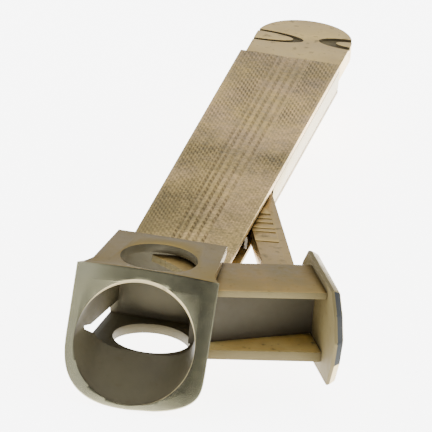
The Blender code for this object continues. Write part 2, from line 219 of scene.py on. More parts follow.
# Brightness by how nearly a direction points at the dark patch
SKY_STOPS = ((0.0, 0.36), (0.45, 0.34), (0.80, 0.75), (0.875, 0.36), (0.935, 0.06), (0.97, 0.02))
SOFTBOXES = (  # name, place, aim, size, power
    ("left_softbox", (-0.45, -0.05, 0.18), (0, -0.02, 0), (0.5, 0.3), 2.0),
    ("right_softbox", (0.5, 0.1, 0.22), (0, 0, 0), (0.5, 0.3), 2.5),
    ("top_softbox", (0.0, 0.15, 0.6), (0, 0, 0), (0.6, 0.6), 2.0),
)
VIEW_RIGHT = (0.977, 0.192, 0.0906)
VIEW_UP = (-0.151, 0.338, 0.929)
RING_CENTRE = (RING_CENTRE_X, FRONT_Y - 3.25 * MM, -0.39 * MM)
VIEW_FROM_RING = (10.17 * MM, 15.8 * MM)  # from there to the picture's middle, right and up
FIELD = 53.4 * MM  # the picture's width at the object
LENS = 1500.0
SENSOR = 36.0


# ---------------------------------------------------------------- materials


WAVE_RATE = 20.0  # the phase of a Wave texture at scale 1, in radians a metre


class Nodes:
    """A small builder of one material's node tree."""

    def __init__(self, name):
        self.material = bpy.data.materials.new(name)
        self.material.use_nodes = True
        self.tree = self.material.node_tree
        self.shader = self.tree.nodes["Principled BSDF"]
        self.coords = self.add("ShaderNodeTexCoord").outputs["Object"]

    def add(self, kind, **settings):
        node = self.tree.nodes.new(kind)
        for key, value in settings.items():
            setattr(node, key, value)
        return node

    def link(self, source, target):
        self.tree.links.new(source, target)

    def value(self, socket, value):
        if isinstance(value, bpy.types.NodeSocket):
            self.link(value, socket)
        else:
            socket.default_value = value

    def mapped(self, scale=(1, 1, 1), turn=(0, 0, 0)):
        node = self.add("ShaderNodeMapping")
        self.link(self.coords, node.inputs["Vector"])
        node.inputs["Scale"].default_value = scale
        node.inputs["Rotation"].default_value = turn
        return node.outputs["Vector"]

    def noise(self, scale, detail=4.0, vector=None):
        node = self.add("ShaderNodeTexNoise")
        self.link(vector or self.coords, node.inputs["Vector"])
        node.inputs["Scale"].default_value = scale
        node.inputs["Detail"].default_value = detail
        return node.outputs["Fac"]

    def bands(self, pitch, turn):
        """Lines of that pitch, 0 to 1, turned about Z in the top's plane."""
        node = self.add("ShaderNodeTexWave")
        self.link(self.mapped(turn=(0, 0, turn)), node.inputs["Vector"])
        node.inputs["Scale"].default_value = 2 * math.pi / (WAVE_RATE * pitch)
        node.inputs["Distortion"].default_value = 0.4
        node.inputs["Detail Scale"].default_value = 0.4
        return node.outputs["Fac"]

    def ramp(self, factor, stops, constant=False):
        """Grey levels over a factor, from (position, level) stops."""
        node = self.add("ShaderNodeValToRGB")
        self.link(factor, node.inputs["Fac"])
        ramp = node.color_ramp
        if constant:
            ramp.interpolation = "CONSTANT"
        while len(ramp.elements) < len(stops):
            ramp.elements.new(1.0)
        for element, (position, level) in zip(ramp.elements, stops):
            element.position = position
            element.color = (level, level, level, 1)
        return node.outputs["Color"]

    def math(self, operation, a, b=0.0):
        node = self.add("ShaderNodeMath", operation=operation)
        self.value(node.inputs[0], a)
        self.value(node.inputs[1], b)
        return node.outputs[0]

    def remap(self, factor, low, high, to_low, to_high):
        node = self.add("ShaderNodeMapRange")
        self.link(factor, node.inputs["Value"])
        node.inputs["From Min"].default_value = low
        node.inputs["From Max"].default_value = high
        node.inputs["To Min"].default_value = to_low
        node.inputs["To Max"].default_value = to_high
        return node.outputs["Result"]

    def mix(self, factor, a, b):
        node = self.add("ShaderNodeMix", data_type="RGBA")
        self.value(node.inputs["Factor"], factor)
        self.value(node.inputs["A"], a)
        self.value(node.inputs["B"], b)
        return node.outputs["Result"]

    def bump(self, height, depth, normal=None):
        node = self.add("ShaderNodeBump")
        node.inputs["Strength"].default_value = 1.0
        node.inputs["Distance"].default_value = depth
        self.link(height, node.inputs["Height"])
        if normal:
            self.link(normal, node.inputs["Normal"])
        return node.outputs["Normal"]


def rgb(red, green, blue):
    return (red, green, blue, 1.0)


# A dark brown for stains and the engraved lines, also used as painted shade in corners.
STAIN_AND_SHADE = rgb(0.060, 0.042, 0.014)
SHADE = rgb(0.26, 0.195, 0.078)


def worn_metal(
    name,
    base,
    tint,
    roughness,
    stain_start,
    uneven=0.1,
    metallic=1.0,
    scratch=0.006,
    grime_and_shade=0.75,
    shine=0.5,
    hatch=None,
):
    """Metal with broad tint patches, small stains, grime and painted shade in its corners, uneven gloss and
    fine scratches.

    `stain_start` is higher where there are fewer stains, and `scratch` is the scratches' depth in mm.
    """
    n = Nodes(name)
    patches = n.ramp(n.noise(170, 5), [(0.38, 0.0), (0.66, 1.0)])
    colour = n.mix(patches, base, tint)
    spots = n.ramp(n.noise(900, 9), [(stain_start, 0.0), (stain_start + 0.16, 0.6)])
    colour = n.mix(spots, colour, STAIN_AND_SHADE)
    # Corners and hollows are darkened by ambient occlusion: grime and painted shade.
    corner = n.add("ShaderNodeAmbientOcclusion", samples=8)
    corner.inputs["Distance"].default_value = 1.1 * MM
    grime_and_corner_shade = n.remap(corner.outputs["AO"], 0.35, 0.95, grime_and_shade, 0.0)
    colour = n.mix(grime_and_corner_shade, colour, STAIN_AND_SHADE)
    gloss = n.remap(n.noise(900, 6), 0.3, 0.7, roughness - uneven * 0.6, roughness + uneven)
    scratches = n.noise(5200, 3, n.mapped(scale=(1, 0.08, 1), turn=(0, 0, 0.5)))
    normal = n.bump(scratches, scratch * MM)
    normal = n.bump(n.noise(420, 4), 4 * scratch * MM, normal)
    if hatch:
        colour, normal, gloss = hatch(n, colour, normal, gloss)
    n.link(colour, n.shader.inputs["Base Color"])
    n.link(gloss, n.shader.inputs["Roughness"])
    n.link(normal, n.shader.inputs["Normal"])
    n.shader.inputs["Metallic"].default_value = metallic
    n.shader.inputs["Specular IOR Level"].default_value = shine
    return n.material


def hatched_sides(n, across, along):
    """Fine crossed lines in a zone on each side, worn away in patches."""
    zones = n.ramp(across, [(0.0, 0.0), (0.035, 1.0), (0.34, 0.0), (0.70, 1.0), (0.965, 0.0)], True)
    crossed = n.math("ADD", n.bands(HATCH_PITCH, HATCH_TURN), n.bands(LINE_PITCH, 0.0))
    lines = n.ramp(n.math("MULTIPLY", crossed, 0.5), [(0.28, 1.0), (0.66, 0.0)])
    wear = n.ramp(n.noise(110, 5), [(0.38, 1.0), (0.60, 0.35)])
    faded = n.remap(along, -REAR_Y, REAR_Y * 0.5, 0.55, 0.8)
    return n.math("MULTIPLY", n.math("MULTIPLY", zones, faded), n.math("MULTIPLY", lines, wear))


def ticked_stripes(n, across, along):
    """Dark stripes down the middle, crossed by ticks and broken in places."""
    stops = [(0.0, 0.0)]
    for start in STRIPES:
        stops += [(start, 1.0), (start + STRIPE_WIDTH, 0.0)]
    stripes = n.ramp(across, stops, True)
    ticks = n.ramp(n.bands(HATCH_PITCH, HATCH_TURN), [(0.25, 0.45), (0.7, 1.0)])
    breaks = n.ramp(n.noise(420, 4, n.mapped(scale=(1, 0.35, 1))), [(0.34, 0.4), (0.52, 1.0)])
    kept = n.remap(along, -REAR_Y, REAR_Y * 0.5, 0.85, 0.55)
    return n.math("MULTIPLY", n.math("MULTIPLY", n.math("MULTIPLY", stripes, breaks), kept), ticks)


def engine_turning(n, colour, normal, gloss):
    """The handle's engraving, on metal that is speckled and darker towards the head."""
    split = n.add("ShaderNodeSeparateXYZ")
    n.link(n.coords, split.inputs["Vector"])
    along = split.outputs["Y"]
    across = n.remap(split.outputs["X"], -HALF_WIDTH, HALF_WIDTH, 0.0, 1.0)
    cut = n.math("MAXIMUM", hatched_sides(n, across, along), ticked_stripes(n, across, along))
    shade = n.ramp(n.noise(60, 4), [(0.36, 0.45), (0.62, 0.0)])
    shade = n.math("ADD", shade, n.ramp(n.noise(2400, 7), [(0.40, 0.34), (0.60, 0.0)]))
    shade = n.math("ADD", shade, n.remap(along, -REAR_Y, REAR_Y * 0.5, 0.60, 0.0))
    colour = n.mix(shade, colour, SHADE)
    colour = n.mix(n.math("MULTIPLY", cut, 0.95), colour, STAIN_AND_SHADE)
    normal = n.bump(n.math("SUBTRACT", 1.0, cut), 0.05 * MM, normal)
    gloss = n.math("ADD", gloss, n.math("MULTIPLY", cut, 0.12))
    return colour, normal, gloss


METALS = {  # by short name: full name, base, tint, roughness, stain_start, and what differs from the usual
    "engraved": (
        "engraved_brass",
        (0.90, 0.63, 0.225),
        (0.94, 0.64, 0.31),
        0.42,
        0.66,
        {"hatch": engine_turning},
    ),
    "brass": ("worn_brass", (0.34, 0.225, 0.076), (0.265, 0.187, 0.06), 0.40, 0.62, {}),
    "light": ("rubbed_brass", (0.58, 0.405, 0.155), (0.48, 0.33, 0.12), 0.36, 0.56, {"uneven": 0.06}),
    "bright": ("bright_nickel", (0.88, 0.64, 0.26), (0.74, 0.53, 0.21), 0.36, 0.58, {"uneven": 0.06}),
    "nickel": ("nickel_silver", (0.45, 0.345, 0.135), (0.47, 0.37, 0.165), 0.32, 0.68, {"uneven": 0.05}),
    "head": ("head_nickel", (0.33, 0.225, 0.058), (0.29, 0.203, 0.068), 0.32, 0.64, {"uneven": 0.04}),
    "face": (
        "face_nickel",
        (0.31, 0.29, 0.175),
        (0.285, 0.27, 0.175),
        0.24,
        0.74,
        {"uneven": 0.02, "scratch": 0.0015},
    ),
    # Painted highlight: the bore's chamfer, made paler so that it looks lit.
    "lip": (
        "lip_painted_highlight",
        (0.40, 0.33, 0.18),
        (0.32, 0.26, 0.13),
        0.4,
        0.62,
        {"uneven": 0.05, "metallic": 0.6},
    ),
    # Painted shade: a dark olive metal with little reflection, on faces turned away from the light.
    "olive": (
        "olive_painted_shade",
        (0.125, 0.098, 0.04),
        (0.105, 0.082, 0.034),
        0.65,
        0.64,
        {"uneven": 0.05, "metallic": 0.1, "grime_and_shade": 0.4, "shine": 0.2},
    ),
    # Painted light: the lower flange's top, made paler so that it looks lit.
    "painted_light": (
        "cream_painted_light",
        (0.72, 0.58, 0.23),
        (0.55, 0.40, 0.13),
        0.5,
        0.58,
        {"uneven": 0.05, "metallic": 0.2, "grime_and_shade": 0.5},
    ),
    # Painted shade: the very dark metal on the cut faces inside the head.
    "inner": (
        "inner_painted_shade",
        (0.068, 0.057, 0.027),
        (0.056, 0.047, 0.023),
        0.5,
        0.62,
        {"uneven": 0.05, "metallic": 0.5},
    ),
    # Painted shade: the web, which lies in shadow under the upper flange.
    "dark": (
        "web_painted_shade",
        (0.046, 0.038, 0.019),
        (0.038, 0.031, 0.015),
        0.8,
        0.7,
        {"uneven": 0.05, "metallic": 0.0, "grime_and_shade": 0.2},
    ),
    # Painted shade: the thumb plate's darker front facets.
    "facet": (
        "facet_painted_shade",
        (0.030, 0.033, 0.034),
        (0.045, 0.045, 0.042),
        0.8,
        0.8,
        {"uneven": 0.03, "metallic": 0.0, "shine": 0.05},
    ),
    # Lining of the tongue's grooves: grime and painted shade.
    "grime_and_shade": (
        "grime_and_shade",
        (0.07, 0.055, 0.02),
        (0.12, 0.09, 0.035),
        0.6,
        0.5,
        {"uneven": 0.05, "metallic": 0.3},
    ),
    "steel": ("spring_steel", (0.42, 0.38, 0.30), (0.34, 0.30, 0.22), 0.33, 0.6, {}),
}
MATERIALS = {
    short: worn_metal(name, rgb(*base), rgb(*tint), roughness, stain_start, **more)
    for short, (name, base, tint, roughness, stain_start, more) in METALS.items()
}


# ---------------------------------------------------------------- mesh tools


def raw_object(name, builder, material):
    """An object made from a bmesh, in one metal."""
    mesh = bpy.data.meshes.new(name)
    bmesh.ops.recalc_face_normals(builder, faces=builder.faces)
    builder.to_mesh(mesh)
    builder.free()
    mesh.materials.append(MATERIALS[material])
    obj = bpy.data.objects.new(name, mesh)
    bpy.context.scene.collection.objects.link(obj)
    return obj


def prism(outline, low, high):
    """A straight prism on a plan outline of (x, y) points."""
    builder = bmesh.new()
    bottom = [builder.verts.new((x, y, low)) for x, y in outline]
    top = [builder.verts.new((x, y, high)) for x, y in outline]
    count = len(outline)
    builder.faces.new(bottom[::-1])
    builder.faces.new(top)
    for i in range(count):
        j = (i + 1) % count
        builder.faces.new((bottom[i], bottom[j], top[j], top[i]))
    return builder


def loft(sections):
    """A closed body through rings of equally many points."""
    builder = bmesh.new()
    rings = [[builder.verts.new(p) for p in ring] for ring in sections]
    count = len(rings[0])
    builder.faces.new(rings[0])
    builder.faces.new(rings[-1][::-1])
    for a, b in zip(rings, rings[1:]):
        for i in range(count):
            j = (i + 1) % count
            builder.faces.new((a[i], b[i], b[j], a[j]))
    return builder


def box_outline(x0, y0, x1, y1):
    return [(x0, y0), (x1, y0), (x1, y1), (x0, y1)]


def circle(centre, radius, steps):
    turn = 2 * math.pi / steps
    return [
        (centre[0] + radius * math.cos(i * turn), centre[1] + radius * math.sin(i * turn))
        for i in range(steps)
    ]


def settle(obj):
    """Applies every modifier, so that the mesh is final."""
    graph = bpy.context.evaluated_depsgraph_get()
    mesh = bpy.data.meshes.new_from_object(obj.evaluated_get(graph))
    obj.modifiers.clear()
    obj.data = mesh


def cut(obj, cutters):
    """Subtracts the cutters, whose own material lines the cut."""
    for cutter in cutters:
        modifier = obj.modifiers.new("cut", "BOOLEAN")
        modifier.operation = "DIFFERENCE"
        modifier.object = cutter
        modifier.solver = "EXACT"
        modifier.material_mode = "TRANSFER"
    bpy.context.view_layer.update()
    settle(obj)
    for cutter in cutters:
        bpy.data.objects.remove(cutter)


def paint(obj, material, chosen):
    """Gives the faces for which `chosen` is true another metal."""
    slot = len(obj.data.materials)
    obj.data.materials.append(MATERIALS[material])
    for face in [face for face in obj.data.polygons if chosen(face)]:
        face.material_index = slot


def shade(obj):
    """Shades all but the sharp edges smooth."""
    obj.data.shade_smooth()
    obj.data.set_sharp_from_angle(angle=math.radians(38))


def soften(obj, width, segments=2, angle=32):
    """Rounds the sharp edges and shades the rest smooth."""
    weld = obj.modifiers.new("weld", "WELD")
    weld.merge_threshold = 0.002 * MM
    modifier = obj.modifiers.new("edges", "BEVEL")
    modifier.width = width
    modifier.segments = segments
    modifier.limit_method = "ANGLE"
    modifier.angle_limit = math.radians(angle)
    modifier.use_clamp_overlap = True
    modifier.miter_outer = "MITER_ARC"
    bpy.context.view_layer.update()
    settle(obj)
    shade(obj)


def place(obj, body, node):
    """Puts a finished piece on its body, in the place of the plain node."""
    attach(obj, body)
    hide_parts(node)


# ---------------------------------------------------------------- head


def cushion(left, right, top, crown, shoulder, bottom, powers, rise, steps=96):
    """Crowned top, straight sides to the shoulder, then a rounded underside, as (x, height).

    `powers` say how square its left and right corners are, and `rise` lifts the right one.
    """
    points = [(left, shoulder)]
    for i in range(CROWN_STEPS + 1):
        t = i / CROWN_STEPS
        points.append((left + (right - left) * t, top + crown * 4 * t * (1 - t)))
    points.append((right, shoulder))
    middle = (left + right) / 2
    half = (right - left) / 2
    for i in range(1, steps):
        angle = math.pi * i / steps
        power = powers[math.cos(angle) > 0]
        across = math.copysign(abs(math.cos(angle)) ** (2 / power), math.cos(angle))
        depth = shoulder - bottom - rise * max(across, 0.0) ** 2
        points.append((middle + half * across, shoulder - depth * math.sin(angle) ** (2 / power)))
    return points


def on_face(x, up, forward=0.0):
    """A point of the raked front face, `up` measured along it from the ring's centre."""
    centre_y = FRONT_Y - RING_DROP * math.sin(FACE_RAKE)
    centre_z = HEAD_TOP - RING_DROP * math.cos(FACE_RAKE)
    y = centre_y + up * math.sin(FACE_RAKE) - forward * math.cos(FACE_RAKE)
    z = centre_z + up * math.cos(FACE_RAKE) + forward * math.sin(FACE_RAKE)
    return Vector((x, y, z))


def pillow(x, up):
    """How far the front face falls back from its plane, towards its sides and bottom."""
    side = abs(x - FACE_MIDDLE) / FACE_HALF
    low = max(-up, 0.0) / FACE_DROP
    return -PILLOW * (side**4 + 0.5 * low**4)


def head_rings():
    """The head's outer shape: the crowned face, the curled edge behind it, the neck and the box."""
    outline = cushion(*FACE_SECTION)
    rings = []
    for scale in FACE_SCALES:
        ring = []
        for x, up in outline:
            near = FACE_MIDDLE + (x - FACE_MIDDLE) * scale
            ring.append(on_face(near, up * scale, pillow(near, up * scale)))
        rings.append(ring)
    edge = rings[-1]
    neck = [Vector((x, FRONT_Y + NECK_BACK, z)) for x, z in cushion(*NECK_SECTION)]
    for part in NECK_PARTS:
        curl = part**NECK_CURL
        ring = []
        for a, b in zip(edge, neck):
            ring.append(Vector((a.x + (b.x - a.x) * curl, *(a.yz + (b.yz - a.yz) * part))))
        rings.append(ring)
    rings.append(neck)
    rings.append([Vector((x, FRONT_Y + HEAD_LENGTH, z)) for x, z in cushion(*REAR_SECTION)])
    return rings


def bore_rings(steps=96):
    """The big bore, with a chamfered lip that is widest at the upper right, opening into the chamber."""
    turn = 2 * math.pi / steps
    low = BOX_BOTTOM + BOTTOM_WALL
    high = HEAD_TOP - TOP_WALL - MOUTH_INSET
    rings = [[] for _ in range(5)]
    for i in range(steps):
        cosine = math.cos(i * turn)
        sine = math.sin(i * turn)
        lip = LIP_WIDTH + LIP_LEAN * (cosine + sine)
        shapes = (
            (BIG_BORE_RADIUS + lip + LIP_FLARE, MM),
            (BIG_BORE_RADIUS + lip, -LIP_START),
            (BIG_BORE_RADIUS, -LIP_DEPTH),
            (BIG_BORE_RADIUS, -BORE_STRAIGHT),
        )
        for ring, (radius, forward) in zip(rings, shapes):
            ring.append(on_face(RING_CENTRE_X + radius * cosine, radius * sine, forward))
        across = math.copysign(abs(cosine) ** MOUTH_SQUARENESS, cosine)
        up = math.copysign(abs(sine) ** MOUTH_SQUARENESS, sine)
        x = RING_CENTRE_X + MOUTH_MIDDLE + MOUTH_HALF_WIDTH * across
        y = FRONT_Y + MOUTH_BACK + MOUTH_LEAN * up
        rings[4].append(Vector((x, y, (low + high) / 2 + (high - low) / 2 * up)))
    return rings


def on_lip(face):
    """Whether a face is part of the bore's chamfer."""
    outwards = on_face(0, 0, 1.0) - on_face(0, 0)
    forward = (face.center - on_face(0, 0)).dot(outwards)
    return face.material_index == 1 and -0.34 * MM < forward < 0.2 * MM and face.normal.dot(outwards) > 0.25


def side_prism(outline, left, right):
    """A straight prism along X on a (y, z) outline."""
    return loft([[Vector((x, y, z)) for y, z in outline] for x in (left, right)])


def head_cutters():
    """The bore, the small hole, and the carriage's chamber with its rear gates and left slots."""
    low = BOX_BOTTOM + BOTTOM_WALL
    high = HEAD_TOP - TOP_WALL
    back = FRONT_Y + HEAD_LENGTH - REAR_WALL
    behind = back + 4 * MM
    chamber = [(x * MM, FRONT_Y + y * MM) for x, y in CHAMBER_FRONT]
    chamber += [(OUTSIDE, back), (CHAMBER_BACK_X, back)]
    slot = box_outline(-OUTSIDE, FRONT_Y + UPPER_SLOT_FRONT, SLOT_INSIDE_X, back)
    slit = [(FRONT_Y + SLIT_FRONT, SLIT_TIP[0]), (back, SLIT_BACK_TOP), (back, low)]
    slit += [(FRONT_Y + SLIT_FLOOR_FRONT, low), (FRONT_Y + SLIT_FRONT, SLIT_TIP[1])]
    flange_gate = box_outline(REAR_WALL_END, back - MM, OUTSIDE, behind)
    lever_gate = box_outline(LEVER_GATE_X, back - MM, OUTSIDE, behind)
    hole = circle((SMALL_HOLE_X, FRONT_Y + SMALL_HOLE_BACK), SMALL_HOLE_RADIUS, 80)
    shapes = {
        "bore": loft(bore_rings()),
        "chamber": prism(chamber, low, high),
        "flange_gate": prism(flange_gate, low, high),
        "lever_gate": prism(lever_gate, *LEVER_GATE_HEIGHTS),
        "upper_slot": prism(slot, high - UPPER_SLOT, high),
        "slit": side_prism(slit, -OUTSIDE, SLOT_INSIDE_X),
        "small_hole": prism(hole, -OUTSIDE, OUTSIDE),
    }
    # The cut faces take the cutters' very dark metal: painted shade inside the head.
    return [raw_object(name + "_cutter", shape, "inner") for name, shape in shapes.items()]


def make_head():
    """The head block, with its face, its lip and the metal inside it in different tones: a painted
    highlight on the lip and painted shade inside.
    """
    head = raw_object("head", loft(head_rings()), "head")
    cut(head, head_cutters())
    paint(head, "face", lambda face: face.material_index == 0 and face.normal.y < -0.55)
    # The bore's chamfer carries a painted highlight.
    paint(head, "lip", on_lip)
    soften(head, 0.09 * MM)
    place(head, "handle", "head_block")


# ---------------------------------------------------------------- handle


def make_top_cover():
    """The engraved plate: shallow longitudinal furrows between smooth bands, on a slab with a plain rim."""
    profile = [(-HALF_WIDTH, 0.0), (-HALF_WIDTH + COVER_RIM, 0.0)]
    for start in STRIPES:
        x0 = -HALF_WIDTH + 2 * HALF_WIDTH * start
        x1 = x0 + 2 * HALF_WIDTH * STRIPE_WIDTH
        profile += [(x0 - STRIPE_LIP, 0.0), (x0, -FURROW), (x1, -FURROW), (x1 + STRIPE_LIP, 0.0)]
    profile += [(HALF_WIDTH - COVER_RIM, 0.0), (HALF_WIDTH, 0.0)]
    low = COVER_LOW.z - COVER_SKIRT
    outline = [(x, HANDLE_TOP + drop) for x, drop in profile] + [(HALF_WIDTH, low), (-HALF_WIDTH, low)]
    rings = [[Vector((x, y, z)) for x, z in outline] for y in (-REAR_Y, REAR_Y)]
    cover = raw_object("engraved_cover", loft(rings), "engraved")
    soften(cover, 0.12 * MM, 2, 60)
    place(cover, "handle", "top_cover")


def make_bar(name, node, material, outline, low, width=0.08 * MM, angle=32):
    """A plain bar of the handle with rounded edges, up to the top of its node."""
    bar = raw_object(name, prism(outline, low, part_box(node)[1].z), material)
    soften(bar, width, 2, angle)
    place(bar, "handle", node)


def make_plain_handle_parts():
    """The bottom cover, spacer and rails. The rails grow down to meet the bottom cover."""
    low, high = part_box("bottom_cover")
    cover = box_outline(low.x, low.y, high.x, high.y)
    make_bar("plain_cover", "bottom_cover", "brass", cover, low.z, 0.12 * MM, 60)
    low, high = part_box("front_spacer")
    make_bar("spacer", "front_spacer", "brass", box_outline(low.x, low.y, high.x, high.y), low.z)
    low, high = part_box("left_rail")
    left = box_outline(low.x, low.y, high.x, high.y)
    make_bar("left_side_rail", "left_rail", "brass", left, low.z - RAIL_GROW)
    make_bar("right_side_rail", "right_rail", "nickel", right_rail_outline(), low.z - RAIL_GROW)


def disc(node, scale, height):
    """A level ring of points round the axis of a pin, `scale` times its radius."""
    low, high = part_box(node)
    reach = (high.x - low.x) / 2 * scale
    return [Vector((x, y, height)) for x, y in circle((low + high) / 2, reach, PIN_STEPS)]


def make_pins():
    """Each pin and rivet ends under the bottom cover in a low domed head."""
    for name in ("front_rivet", "rear_rivet_left", "rear_rivet_right", "pivot_pin", "spring_anchor_pin"):
        low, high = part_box(name)
        shank = [(0.85, high.z), (1.0, high.z - PIN_CHAMFER), (1.0, low.z + PIN_END)]
        dome = [(scale, low.z + drop * MM) for scale, drop in PIN_HEAD]
        rings = [disc(name, scale, height) for scale, height in shank + dome]
        pin = raw_object("headed_" + name, loft(rings), "steel")
        shade(pin)
        place(pin, "handle", name)


def lever_point(along, across):
    """A plan point on the lever: `along` runs from the pivot to the head, `across` to the right."""
    x = PIVOT.x + along * math.sin(LEVER_ANGLE) + across * math.cos(LEVER_ANGLE)
    y = PIVOT.y - along * math.cos(LEVER_ANGLE) + across * math.sin(LEVER_ANGLE)
    return (x, y)


def right_rail_outline():
    """The rail behind the lever's slot, whose front end lies along the open lever."""
    low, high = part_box("right_rail")

    def stop_y(x):
        along = (x - PIVOT.x - LEVER_STOP * math.cos(LEVER_ANGLE)) / math.sin(LEVER_ANGLE)
        return lever_point(along, LEVER_STOP)[1]

    return [(high.x, stop_y(high.x)), (high.x, high.y), (low.x, high.y), (low.x, stop_y(low.x))]


def scallop(side, edge, y, reach, height, wall, steps=24):
    """A crescent groove that opens at the tongue's edge: an outer half ellipse round an inner one."""
    outer, inner = [], []
    for i in range(steps + 1):
        angle = math.pi * (i / steps - 0.5)
        x = reach * math.cos(angle)
        outer.append((side * (edge - x), y + height * math.sin(angle)))
        x = (reach - SCALLOP_NOSE * wall) * math.cos(angle)
        inner.append((side * (edge - x), y + (height - wall) * math.sin(angle)))
    return outer + inner[::-1]


def make_tongue(steps=60):
    """The end plate: a narrower tang, a rounded end and a crescent groove on each side."""
    low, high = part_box("end_tongue")
    half = high.x
    shoulder = REAR_Y + TONGUE_GAP
    straight = high.y - TONGUE_ROUND
    tang = half - TANG_INSET
    outline = [(-tang, low.y), (tang, low.y), (tang, shoulder), (half, shoulder)]
    for i in range(steps + 1):
        angle = math.pi * i / steps
        y = straight + TONGUE_ROUND * math.sin(angle) ** TONGUE_FULLNESS
        outline.append((half * math.cos(angle), y))
    outline += [(-half, shoulder), (-tang, shoulder)]
    tongue = raw_object("rounded_tongue", prism(outline, low.z, high.z), "bright")
    cutters = []
    for i, (side, back, reach, height, wall) in enumerate(SCALLOPS):
        middle = shoulder + back * MM
        groove = scallop(side, half + SCALLOP_OVERHANG, middle, reach * MM, height * MM, wall * MM)
        shape = prism(groove, high.z - SCALLOP_DEPTH, high.z + MM)
        # The grooves are lined with a dark metal: grime and painted shade.
        cutters.append(raw_object(f"scallop_{i}", shape, "grime_and_shade"))
    cut(tongue, cutters)
    soften(tongue, 0.22 * MM, 3)
    place(tongue, "handle", "end_tongue")


# ---------------------------------------------------------------- lever and carriage


def make_lever(steps=32):
    """The flat bar from its rounded eye to the carriage, with shallow grooves across its top."""
    low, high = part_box("lever_arm")
    outline = []
    for i in range(steps + 1):
        angle = math.pi * i / steps
        outline.append(lever_point(-LEVER_HALF * math.sin(angle), LEVER_HALF * math.cos(angle)))
    outline += [lever_point(along * MM, across * MM) for along, across in LEVER_TIP]
    lever = raw_object("lever_bar", prism(outline[::-1], low.z, high.z), "light")
    shapes = [prism(circle(PIVOT, EYE_RADIUS, 40), low.z - MM, high.z + MM)]
    near, far = GROOVE_ENDS
    for start, length in LEVER_GROOVES:
        end = start + length
        groove = ((start, near), (end, near), (end + GROOVE_SLANT, far), (start + GROOVE_SLANT, far))
        points = [lever_point(along * MM, across * MM) for along, across in groove]
        shapes.append(prism(points, high.z - GROOVE_DEPTH, high.z + MM))
    cut(lever, [raw_object(f"lever_cutter_{i}", shape, "brass") for i, shape in enumerate(shapes)])
    soften(lever, 0.1 * MM)
    place(lever, "lever", "lever_arm")


def carriage_point(along, back):
    """A plan point on the carriage: `along` from the head to the thumb plate, `back` from its front."""
    x = CARRIAGE_START_X + along * math.cos(CARRIAGE_ANGLE) - back * math.sin(CARRIAGE_ANGLE)
    start_y = FRONT_Y + CARRIAGE_START_BACK
    y = start_y + along * math.sin(CARRIAGE_ANGLE) + back * math.cos(CARRIAGE_ANGLE)
    return (x, y)


def by_front(points):
    """Plan points given in mm across, and back from the head's front."""
    return [(x * MM, FRONT_Y + back * MM) for x, back in points]


def flange_outline(tips, belly, nick, seed, heel=(), steps=40):
    """A flange with a bowed inner edge between its tips, nicked by up to `nick` near the back one."""
    chips = random.Random(seed)
    front_tip, back_tip = by_front(tips)
    seat = PLATE_ANGLE - CARRIAGE_ANGLE
    end = CARRIAGE_REACH + FLANGE_GROW
    outline = [front_tip, carriage_point(end, 0)]
    outline.append(carriage_point(end - CARRIAGE_DEPTH * math.tan(seat), CARRIAGE_DEPTH))
    outline.append(carriage_point(0, CARRIAGE_DEPTH))
    outline += by_front(heel)
    for i in range(steps):
        t = i / steps
        bow = belly * math.sin(math.pi * t) + nick * chips.random() ** 2 * (1 - t) ** 3
        x = back_tip[0] + (front_tip[0] - back_tip[0]) * t + bow * BELLY_WAY[0]
        y = back_tip[1] + (front_tip[1] - back_tip[1]) * t + bow * BELLY_WAY[1]
        outline.append((x, y))
    return outline


def make_upper_flange():
    """The carriage's upper flange, whose bowed and nicked edge is the blade."""
    low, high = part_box("upper_blade")
    blade = flange_outline(BLADE_TIPS, BLADE_BELLY, BLADE_NICK, 3, BLADE_HEEL)
    upper = raw_object("upper_flange", prism(blade, low.z, high.z), "brass")
    # Its sides are painted shade.
    paint(upper, "olive", lambda face: abs(face.normal.z) < 0.5)
    soften(upper, 0.1 * MM)
    place(upper, "lever", "upper_blade")


def make_lower_flange():
    """The carriage's lower flange, in painted shade, with a paler top that is painted light."""
    low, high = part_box("lower_guide")
    guide = flange_outline(GUIDE_TIPS, GUIDE_BELLY, GUIDE_NICK, 4)
    # Its sides and underside are painted shade.
    lower = raw_object("lower_flange", prism(guide, low.z, high.z), "olive")
    # Its top is painted light.
    paint(lower, "painted_light", lambda face: face.normal.z > 0.9)
    soften(lower, 0.12 * MM)
    place(lower, "lever", "lower_guide")


def make_web():
    """The upright plate between the flanges, grown to meet them, in very dark metal that is painted shade.
    """
    low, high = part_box("cutter_web")
    along = Vector((math.cos(WEB_ANGLE), math.sin(WEB_ANGLE)))
    across = Vector((-along.y, along.x))
    start = Vector(by_front([WEB_START])[0])
    end = start + along * WEB_LENGTH
    corners = (start, end, end + across * WEB, start + across * WEB + along * WEB_CHAMFER)
    outline = [(corner.x, corner.y) for corner in corners]
    web = raw_object("upright_web", prism(outline, low.z - WEB_GROW, high.z + WEB_GROW), "dark")
    soften(web, 0.06 * MM)
    place(web, "lever", "cutter_web")


def plate_point(back, height, out):
    """A point of the thumb plate, `out` from the carriage's end and `back` from the carriage's front."""
    seat = carriage_point(CARRIAGE_REACH + PLATE_GAP, 0)
    x = seat[0] + out * math.cos(PLATE_ANGLE) - back * math.sin(PLATE_ANGLE)
    y = seat[1] + out * math.sin(PLATE_ANGLE) + back * math.cos(PLATE_ANGLE)
    return Vector((x, y, height))


def on_front_facet(face):
    """Whether a face is one of the plate's facets towards the front, apart from the lowest."""
    outwards = Vector((math.cos(PLATE_ANGLE), math.sin(PLATE_ANGLE), 0))
    backwards = Vector((-outwards.y, outwards.x, 0))
    level = face.center.z > -2.0 * MM and face.normal.z < 0.7
    slanted = face.normal.dot(outwards) < 0.9 and face.normal.dot(backwards) < -0.2
    return face.material_index == 0 and level and slanted


